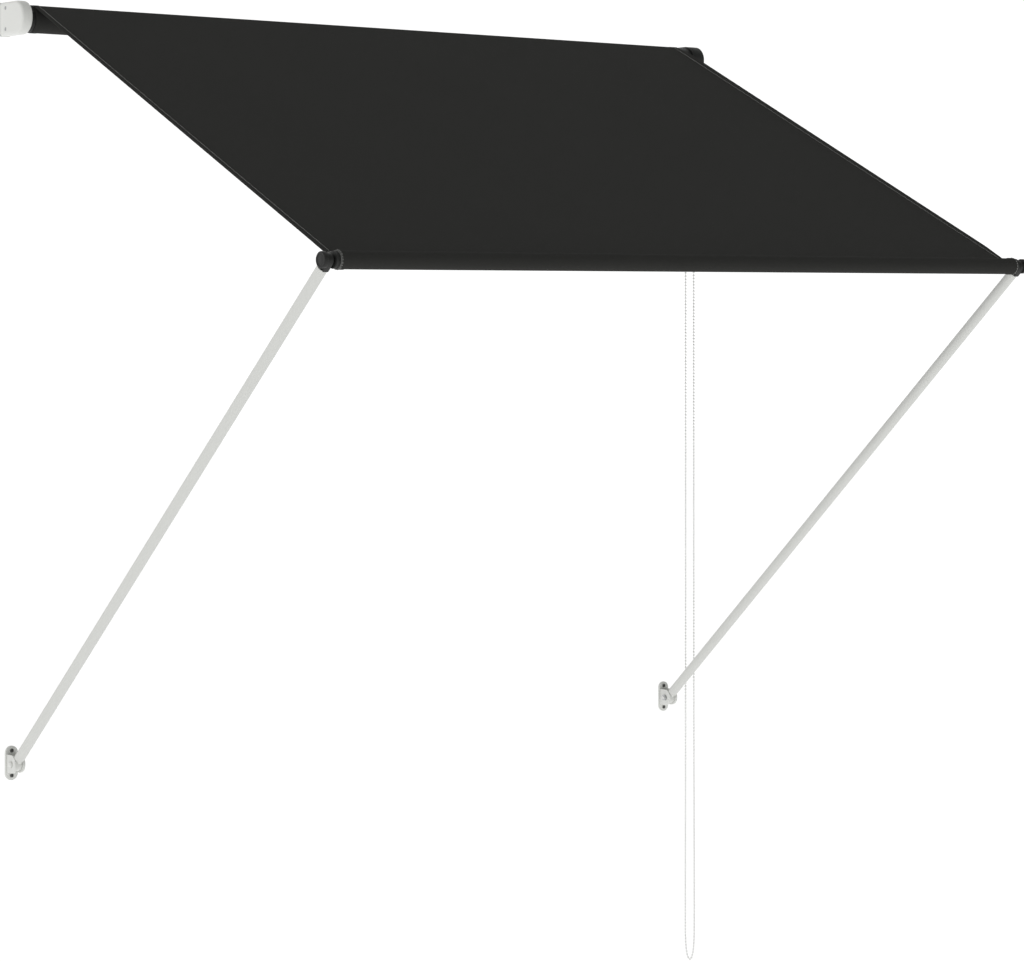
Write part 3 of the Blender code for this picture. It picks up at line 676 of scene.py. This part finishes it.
rim += [row * columns for row in range(len(runs) - 2, 0, -1)]
for one, two in zip(rim, rim[1:] + rim[:1]):
    sheet_faces.append((one, two, layer_size + two, layer_size + one))
mesh = bpy.data.meshes.new("canopy_canvas")
mesh.from_pydata(sheet_verts, [], sheet_faces)
shape = bmesh.new()
shape.from_mesh(mesh)
bmesh.ops.recalc_face_normals(shape, faces=shape.faces)
shape.to_mesh(mesh)
shape.free()
canopy = new_piece("canopy_canvas", mesh)
coat(canopy, canvas("canvas_stretched", down_the_slope))


# ---------------------------------------------------------------- hem stitching
# Grey polyester lockstitch, 3.5 mm long, along both side hems on the top and the underside.
def sewing_thread():
    """Twisted grey thread with a dull shine."""
    finish = Finish("grey_thread", "anthracite_canvas", Specular_IOR_Level=0.3)
    x, y, z = finish.place()
    twist = ((x * 3.0 + y * 2.0 + z * 2.5) * (math.tau / 0.0018)).sine() * 0.5 + 0.5
    finish.feed("Base Color", finish.blend(twist, (0.24, 0.24, 0.235), (0.36, 0.36, 0.35)))
    finish.feed("Roughness", 0.6 + twist * 0.2)
    finish.feed("Normal", finish.bump(twist, 0.0001, strength=0.6))
    return finish


thread = sewing_thread()
stitch_length = 0.0035
stitch_gap = 0.0009
stitch_radius = 0.00042


def stitch_row(points_at, length, up_at):
    """Little sunk-ended stitches along a line: points_at(run) on the cloth, up_at(run) away from it."""
    verts = []
    faces = []
    count = int(length / (stitch_length + stitch_gap))
    for k in range(count):
        start = (k + 0.5) * length / count - stitch_length / 2
        base = len(verts)
        for step, (share, depth, size) in enumerate(((0, -0.9, 0.5), (0.22, 0.35, 1), (0.5, 0.55, 1.1),
                                                     (0.78, 0.35, 1), (1, -0.9, 0.5))):
            run = start + share * stitch_length
            here = points_at(run)
            along = (points_at(run + 0.0005) - points_at(run - 0.0005)).normalized()
            up = up_at(run)
            side = along.cross(up)
            for corner in range(6):
                angle = math.tau * corner / 6
                offset = (side * math.cos(angle) + up * math.sin(angle)) * stitch_radius * size
                verts.append(here + up * stitch_radius * depth + offset)
        for step in range(4):
            for corner in range(6):
                nxt = (corner + 1) % 6
                a = base + step * 6
                faces.append((a + corner, a + 6 + corner, a + 6 + nxt, a + nxt))
        faces.append(tuple(base + corner for corner in reversed(range(6)))[::-1])
        faces.append(tuple(base + 24 + corner for corner in range(6))[::-1])
    return verts, faces


def sewn(name, rows):
    verts = []
    faces = []
    for row_verts, row_faces in rows:
        shift = len(verts)
        verts += row_verts
        faces += [tuple(v + shift for v in face) for face in row_faces]
    mesh = bpy.data.meshes.new(name)
    mesh.from_pydata(verts, [], faces)
    shape = bmesh.new()
    shape.from_mesh(mesh)
    bmesh.ops.recalc_face_normals(shape, faces=shape.faces)
    shape.to_mesh(mesh)
    shape.free()
    piece = new_piece(name, mesh)
    return coat(piece, thread)


stitch_inset = 0.0098
hem_rows = []
for x in (-half_width + stitch_inset, half_width - stitch_inset):
    lift = canvas_thickness / 2 + hem_lift(x)
    for face in (1, -1):
        hem_rows.append(stitch_row(lambda run, x=x, h=face * lift: sheet_point(x, run, h),
                                   canopy_length - 0.004, lambda run, f=face: slope_up * f))
hem_thread = sewn("hem_stitching", hem_rows)

# Folding the awning takes the canopy in towards the roller, which winds up the difference; here the canvas
# and its stitching are only attached to the canopy body, each with a mesh of its own.
for piece in (canopy, hem_thread):
    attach(piece, "canopy")
    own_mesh(piece)
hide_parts("canopy")

# ---------------------------------------------------------------- front sleeve
# The canvas is folded back round the front bar and sewn to itself, which makes a snug sleeve
# with a flat neck behind. Its end edges are hemmed like the canopy's sides.
sleeve_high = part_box("bar_sleeve")[1]
sleeve_radius = 0.0145
sleeve_half = sleeve_high.x
sleeve_frame = Matrix.Translation(bar_axis) @ Matrix((
    (1, 0, 0, 0), (0, slope_out.y, slope_up.y, 0), (0, slope_out.z, slope_up.z, 0), (0, 0, 0, 1)))


def sleeve_outline(x):
    """The sleeve's outline in (out, up) about the bar: round in front, pinched at the neck."""
    inside = sleeve_half - abs(x)
    hem = 0.0007 * (1 - ease((inside - hem_width) / 0.0016))
    edge = 0.0003 * (1 - ease(inside / 0.0006))
    meet = math.degrees(math.acos(sleeve_radius / sleeve_neck))
    slack = 0.00022 * math.sin(x * 23.0) + 0.00016 * math.sin(x * 61.0 + 1.0)
    ring = []
    for out, up in arc((0, 0), sleeve_radius - 0.0005, 180 - meet, meet - 180, 44):
        share = 1 + (hem - edge + slack * (0.4 - out / sleeve_radius)) / sleeve_radius
        ring.append((out * share, up * share))
    last_out, last_up = ring[-1]
    first_up = ring[0][1]
    neck_half = 0.0008 + hem * 0.5 - edge
    below = []
    above = []
    for step in range(1, 9):
        share = step / 8
        pinch = 0.0011 * math.sin(math.pi * share)
        out = last_out + (-sleeve_neck - last_out) * share
        below.append((out, last_up + (-neck_half - last_up) * share + pinch))
        above.append((out, first_up + (neck_half - first_up) * share - pinch))
    return ring + below + list(reversed(above))


def sleeve_ring(x):
    base_y, base_z = bar_axis.y, bar_axis.z
    return [(base_y + slope_out.y * out + slope_up.y * up,
             base_z + slope_out.z * out + slope_up.z * up) for out, up in sleeve_outline(x)]


sleeve_stations = sorted({sign * (sleeve_half - inset) for inset in
                          (0.0, 0.0003, 0.0008, 0.003, 0.006, 0.009, hem_width, 0.0123, 0.0132, 0.016, 0.02)
                          for sign in (-1, 1)} | {0.0117 * k for k in range(-59, 60)})
sleeve = ring_solid("canvas_sleeve", sleeve_stations, sleeve_ring)
bore = turned("bore", [(0, 2), (0.01335, 2), (0.01335, -2), (0, -2)],
              Matrix.Translation(bar_axis) @ across_frame, count=72)
cut(sleeve, bore)


def round_the_bar(x, y, z):
    out = (y - bar_axis.y) * slope_out.y + (z - bar_axis.z) * slope_out.z
    up = (y - bar_axis.y) * slope_up.y + (z - bar_axis.z) * slope_up.z
    return up.angle_from(out) * sleeve_radius


# The sleeve's canvas carries a painted highlight over the last 1.6 mm at each end.
coat(sleeve, canvas("canvas_on_bar", round_the_bar, highlight_from=sleeve_half - 0.0016))
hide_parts("bar_sleeve")
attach(sleeve, "front_bar")


def neck_point(run, up_side, out_place):
    """A point on the sleeve's neck, on its upper or lower face."""
    x = -sleeve_half + run
    ring = sleeve_outline(x)
    near = [point for point in ring if (point[1] > 0) == (up_side > 0) and point[0] < 0]
    near.sort(key=lambda point: abs(point[0] - out_place))
    (out_a, up_a), (out_b, up_b) = near[0], near[1]
    share = (out_place - out_a) / (out_b - out_a)
    return sleeve_frame @ Vector((x, out_place, up_a + (up_b - up_a) * share))


neck_rows = []
end_inset = 0.0024
for side in (1, -1):
    neck_rows.append(stitch_row(lambda run, s=side: neck_point(run, s, -0.0205), 2 * sleeve_half - 0.004,
                                lambda run, s=side: slope_up * s))


def sleeve_lap(x):
    """The line round the sleeve's outside at one place along it, and the way out of it."""
    ring = [sleeve_frame @ Vector((x, out, up)) for out, up in sleeve_outline(x)[:45]]
    total = sum((b - a).length for a, b in zip(ring, ring[1:]))

    def at(run):
        gone = 0.0
        for a, b in zip(ring, ring[1:]):
            step = (b - a).length
            if run <= gone + step or b is ring[-1]:
                return a.lerp(b, (run - gone) / step)
            gone += step

    def away(run):
        return (at(run) - Vector((x, bar_axis.y, bar_axis.z))).normalized()

    return at, total, away


for x in (end_inset - sleeve_half, sleeve_half - end_inset):
    neck_rows.append(stitch_row(*sleeve_lap(x)))
neck_thread = sewn("sleeve_stitching", neck_rows)
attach(neck_thread, "front_bar")
coat(nodes["front_bar"], aluminium)

# ---------------------------------------------------------------- bar plugs and end knobs
# A black plug closes each end of the front bar. The arm's fitting turns on the plug's pin,
# which a dished black knob retains on the outside.
for side, word in ((-1, "left"), (1, "right")):
    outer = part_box("bar_plug_" + word)
    pin_end = max(abs(outer[0].x), abs(outer[1].x))
    collar = (outer[1].z - outer[0].z) / 2
    eye_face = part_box("arm_fitting_" + word)
    shoulder = min(abs(eye_face[0].x), abs(eye_face[1].x)) - 0.0003
    mouth = sleeve_half + 0.0003
    plug = turned("bar_end_plug_" + word,
                  [(0, pin_end), (0.0045, pin_end), (0.0050, pin_end - 0.0005), (0.0050, shoulder),
                   (collar - 0.0022, shoulder), (collar - 0.0007, shoulder - 0.0004),
                   (collar, shoulder - 0.0014), (collar, mouth + 0.0030),
                   (collar - 0.0006, mouth + 0.0022), (collar, mouth + 0.0014), (collar, mouth),
                   (0.0111, mouth), (0.0111, sleeve_half - 0.028), (0.0104, sleeve_half - 0.030),
                   (0, sleeve_half - 0.030)],
                  across((0, bar_axis.y, bar_axis.z), side), count=72)
    coat(plug, black)
    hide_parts("bar_plug_" + word)
    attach(plug, "front_bar")
    low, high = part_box("end_knob_" + word)
    knob_radius = (high.z - low.z) / 2
    top = max(abs(low.x), abs(high.x))
    root = min(abs(low.x), abs(high.x))
    floor = pin_end + 0.0003
    knob = turned("knob_" + word,
                  [(0, top - 0.0005), (0.0042, top - 0.0006), (0.0078, top - 0.0011),
                   (0.0089, top - 0.0012), (0.0096, top - 0.0007), (0.0103, top - 0.0001),
                   (0.0109, top), (0.0117, top - 0.0002), (0.0124, top - 0.0008),
                   (knob_radius, top - 0.0018), (knob_radius, root + 0.0010),
                   (knob_radius - 0.0003, root + 0.0003), (knob_radius - 0.0010, root),
                   (0.0054, root), (0.0054, floor), (0, floor)],
                  across((0, bar_axis.y, bar_axis.z), side), count=96)
    coat(knob, black)
    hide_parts("end_knob_" + word)
    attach(knob, "front_bar")

# ---------------------------------------------------------------- arms
# White steel tubes, one on each side. A black moulded fitting is pushed in at the top and a
# white forged knuckle at the foot.


def eased(node, width, steps=2, angle=30):
    """The node's solid once more, with its hard edges rounded over."""
    mesh = nodes[node].data.copy()
    shape = bmesh.new()
    shape.from_mesh(mesh)
    bmesh.ops.remove_doubles(shape, verts=shape.verts, dist=0.00002)
    bmesh.ops.dissolve_limit(shape, angle_limit=math.radians(1), verts=shape.verts, edges=shape.edges)
    hard = [edge for edge in shape.edges if edge.calc_face_angle(0) > math.radians(angle)]
    bmesh.ops.bevel(shape, geom=hard, offset=width, segments=steps, profile=0.5, affect="EDGES",
                    clamp_overlap=True)
    bmesh.ops.recalc_face_normals(shape, faces=shape.faces)
    shape.to_mesh(mesh)
    shape.free()
    mesh.materials.clear()
    piece = new_piece(node + "_eased", mesh)
    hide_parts(node)
    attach(piece, nodes[node]["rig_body"])
    return piece


# The arms take the white coat darkened to nine tenths: painted shade.
shaded_arm_white = powder_coat("arm_powder_coat_painted_shade", tone=0.90, peel_depth=0.00003)
foot_low, foot_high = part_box("wall_foot_right")
arm_x = (foot_low.x + foot_high.x) / 2
arm_line = (bar_axis - foot_axis).normalized()
arm_tilt = math.atan2(-arm_line.y, arm_line.z)
arm_radius = 0.0090
arm_bore = 0.0078
chamfer = 0.0003
tube_from = 0.0163
tube_to = (bar_axis - foot_axis).length - 0.0163
for side, word in ((-1, "left"), (1, "right")):
    seat = Matrix.Translation((side * arm_x, foot_axis.y, foot_axis.z)) @ Matrix.Rotation(arm_tilt, 4, "X")
    tube = turned("arm_" + word,
                  [(arm_bore, tube_to), (arm_radius - chamfer, tube_to),
                   (arm_radius, tube_to - chamfer)]
                  + [(arm_radius, tube_to - chamfer - (tube_to - tube_from - 2 * chamfer) * k / 40)
                     for k in range(1, 40)]
                  + [(arm_radius, tube_from + chamfer), (arm_radius - chamfer, tube_from),
                     (arm_bore, tube_from)],
                  seat, count=64, closed=True)
    coat(tube, shaded_arm_white)
    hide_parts("arm_tube_" + word)
    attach(tube, "arms")
    coat(eased("arm_fitting_" + word, 0.0004), black)
    coat(eased("arm_knuckle_" + word, 0.0008), white)

# ---------------------------------------------------------------- wall feet
# Small white cast clevises, each with two dark grey washers in its oblong plate for the wall screws;
# the washers' dark grey is painted shade for the screw holes. A white round-headed bolt with a zinc nut is
# the arm's hinge pin.
def painted_hole_shade():
    """Dull dark grey moulded washers: painted shade for the screw holes."""
    finish = Finish("painted_hole_shade", "black_plastic", Specular_IOR_Level=0.3)
    cloud = finish.grain(500.0)
    finish.feed("Base Color", finish.blend(cloud, (0.085, 0.085, 0.083), (0.125, 0.125, 0.12)))
    finish.feed("Roughness", 0.5 + cloud * 0.2)
    finish.feed("Normal", finish.bump(cloud, 0.00004, strength=0.4))
    return finish


hole_shade_finish = painted_hole_shade()
plate_thickness = 0.004
hole_rise = 0.0213
out_of_wall = Matrix.Rotation(math.pi / 2, 4, "X")
for word in ("left", "right"):
    coat(eased("wall_foot_" + word, 0.0006), white)
    coat(eased("pivot_bolt_" + word, 0.0004), white)
    coat(eased("pivot_nut_" + word, 0.0003), zinc)
    low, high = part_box("wall_foot_" + word)
    middle = (low + high) / 2
    for place, rise in (("upper", hole_rise), ("lower", -hole_rise)):
        # Each washer's dark grey stands in for the shade inside a screw hole: painted shade.
        washer = turned(f"foot_washer_{word}_{place}",
                        [(0.0012, 0.0012), (0.0030, 0.0012), (0.0034, 0.0008), (0.0034, 0.0001),
                         (0.0023, 0.0001), (0.0023, -0.0036), (0, -0.0036), (0, -0.0004),
                         (0.0012, -0.0004)],
                        Matrix.Translation((middle.x, -plate_thickness, middle.z + rise)) @ out_of_wall,
                        count=32)
        coat(washer, hole_shade_finish)
        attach(washer, "wall")

# ---------------------------------------------------------------- bead chain
# An endless operating chain: white plastic beads moulded on a polyester cord, over the chain
# wheel and hanging in a long loop. A snap connector joins its two ends on the rear strand.
bead_radius = 0.00225
bead_pitch = 0.0063
wheel_radius = 0.0122
rear_strand = roller_axis.y + wheel_radius
route = [(rear_strand, -0.0457), (rear_strand, -0.025)]
route += arc((roller_axis.y, 0), wheel_radius, 0, 180, 8)
route += [(-0.0582, -0.025), (-0.0582, -0.060), (-0.0582, -0.300), (-0.0584, -0.700),
          (-0.0585, -1.100), (-0.0590, -1.400), (-0.0598, -1.600), (-0.0600, -1.700),
          (-0.0592, -1.752), (-0.0566, -1.776), (-0.0520, -1.790), (-0.0462, -1.795),
          (-0.0404, -1.790), (-0.0358, -1.776), (-0.0334, -1.752), (-0.0330, -1.700),
          (-0.0332, -1.600), (-0.0336, -1.400), (-0.0338, -1.100), (-0.0338, -0.700),
          (-0.0338, -0.300), (rear_strand, -0.0623)]


def smooth_through(points, spacing):
    """A smooth line through the points, with a new point at least every spacing."""
    line = []
    ends = [points[0] * 2 - points[1]] + points + [points[-1] * 2 - points[-2]]
    for before, start, end, after in zip(ends, ends[1:], ends[2:], ends[3:]):
        first = (start - before).length ** 0.5
        second = (end - start).length ** 0.5
        third = (after - end).length ** 0.5
        leave = ((start - before) / first - (end - before) / (first + second)
                 + (end - start) / second) * second
        arrive = ((end - start) / second - (after - start) / (second + third)
                  + (after - end) / third) * second
        count = max(2, math.ceil((end - start).length / spacing))
        for step in range(count):
            t = step / count
            line.append(start * (2 * t**3 - 3 * t**2 + 1) + leave * (t**3 - 2 * t**2 + t)
                        + end * (3 * t**2 - 2 * t**3) + arrive * (t**3 - t**2))
    return line + [points[-1]]


chain_line = smooth_through([Vector((chain_x, y, z)) for y, z in route], 0.004)
chain_length = sum((b - a).length for a, b in zip(chain_line, chain_line[1:]))


def spaced(line, total, count):
    """Points at equal distances along a line, each with its direction."""
    found = []
    gone = 0.0
    wanted = [total * (k + 0.5) / count for k in range(count)]
    for a, b in zip(line, line[1:]):
        step = (b - a).length
        while wanted and wanted[0] <= gone + step:
            found.append((a.lerp(b, (wanted.pop(0) - gone) / step), (b - a).normalized()))
        gone += step
    return found


beads = spaced(chain_line, chain_length, round(chain_length / bead_pitch))
ball = bmesh.new()
bmesh.ops.create_uvsphere(ball, u_segments=12, v_segments=8, radius=bead_radius)
ball_verts = np.array([v.co for v in ball.verts])
ball_faces = [[v.index for v in face.verts] for face in ball.faces]
ball.free()
chain_verts = []
chain_faces = []
for place, direction in beads:
    turn = np.array(direction.to_track_quat("Z", "Y").to_matrix())
    shift = len(chain_verts)
    chain_verts += [tuple(v) for v in ball_verts @ turn.T + np.array(place)]
    chain_faces += [[v + shift for v in face] for face in ball_faces]
string_radius = 0.0007
previous = None
for place, direction in zip(chain_line, [b - a for a, b in zip(chain_line, chain_line[1:])] + [None]):
    direction = direction.normalized() if direction else previous
    across_line = Vector((1, 0, 0))
    up = direction.cross(across_line)
    shift = len(chain_verts)
    chain_verts += [tuple(place + (across_line * math.cos(math.tau * k / 6)
                                   + up * math.sin(math.tau * k / 6)) * string_radius) for k in range(6)]
    if previous:
        chain_faces += [[shift - 6 + k, shift - 6 + (k + 1) % 6, shift + (k + 1) % 6, shift + k]
                        for k in range(6)]
    previous = direction
mesh = bpy.data.meshes.new("chain_beads")
mesh.from_pydata(chain_verts, [], chain_faces)
shape = bmesh.new()
shape.from_mesh(mesh)
bmesh.ops.recalc_face_normals(shape, faces=shape.faces)
shape.to_mesh(mesh)
shape.free()
chain = new_piece("chain_beads", mesh)


def white_plastic():
    """Slightly milky moulded plastic with a faint parting haze and small scuffs."""
    finish = Finish("white_chain_plastic", "white_chain_plastic", IOR=1.46, Subsurface_Weight=0.0)
    cloud = finish.grain(300.0, detail=3.0)
    scuff = finish.grain(1800.0, detail=2.0)
    finish.feed("Base Color", finish.blend(cloud, (0.86, 0.86, 0.85), (0.92, 0.92, 0.91)))
    finish.feed("Roughness", 0.30 + cloud * 0.16)
    finish.feed("Normal", finish.bump(scuff, 0.00003, strength=0.4))
    return finish


milky = white_plastic()
coat(chain, milky)
coat(nodes["chain_connector"], milky)
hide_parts("bead_chain")
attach(chain, "wall")

# ---------------------------------------------------------------- floor and light
# A plain white studio: a wide floor well below the chain, even light from all round that
# fades a little towards the viewer's side, and one large soft lamp from the upper left.
floor_level = -2.35
bpy.ops.mesh.primitive_plane_add(size=60, location=(0, 0, floor_level))
floor = bpy.context.object
floor.name = "studio_floor"
paper = Finish("floor_paper", "", Specular_IOR_Level=0.0, Emission_Strength=0.62)
tone = paper.grain(0.4)
paper.feed("Base Color", paper.blend(tone, (0.73, 0.73, 0.73), (0.76, 0.76, 0.76)))
paper.feed("Emission Color", paper.blend(tone, (0.97, 0.97, 0.97), (1.0, 1.0, 1.0)))
paper.feed("Roughness", 0.9 + tone * 0.05)
floor.data.materials.append(paper.material)

world = bpy.data.worlds.new("studio")
bpy.context.scene.world = world
world.use_nodes = True


class Surround(Finish):
    """The white room round the stage, built like a finish on the world's own nodes."""

    def __init__(self, room):
        self.tree = room.node_tree
        self.shader = self.tree.nodes["Background"]

    def towards(self, direction):
        """1 where the room is looked at in that direction, -1 behind it."""
        look = self.node("ShaderNodeTexCoord", {}, {}, out=0)
        aim = tuple(Vector(direction).normalized())
        return self.node("ShaderNodeVectorMath", {"operation": "DOT_PRODUCT"}, {0: look, 1: aim}, out=1)


room = Surround(world)
overhead = room.towards((0, 0, 1)).clipped()
shaded_side = (room.towards((0.45, -0.89, -0.1)) + 0.1).clipped()
room.feed("Strength", 1.10 - overhead * 0.50 - shaded_side * 0.72)
room.feed("Color", room.blend(shaded_side, (1.0, 1.0, 1.0), (0.97, 1.0, 0.95)))


def lamp(name, place, aim, size, watts):
    data = bpy.data.lights.new(name, "AREA")
    data.shape = "DISK"
    data.size = size
    data.energy = watts
    lit = bpy.data.objects.new(name, data)
    lit.location = place
    lit.rotation_euler = (Vector(aim) - Vector(place)).to_track_quat("-Z", "Y").to_euler()
    bpy.context.scene.collection.objects.link(lit)
    return lit


lamp("key_lamp", (-5.0, -1.0, 4.0), (0, -0.4, -0.6), 3.0, 8)
bpy.context.scene.view_settings.view_transform = "Standard"
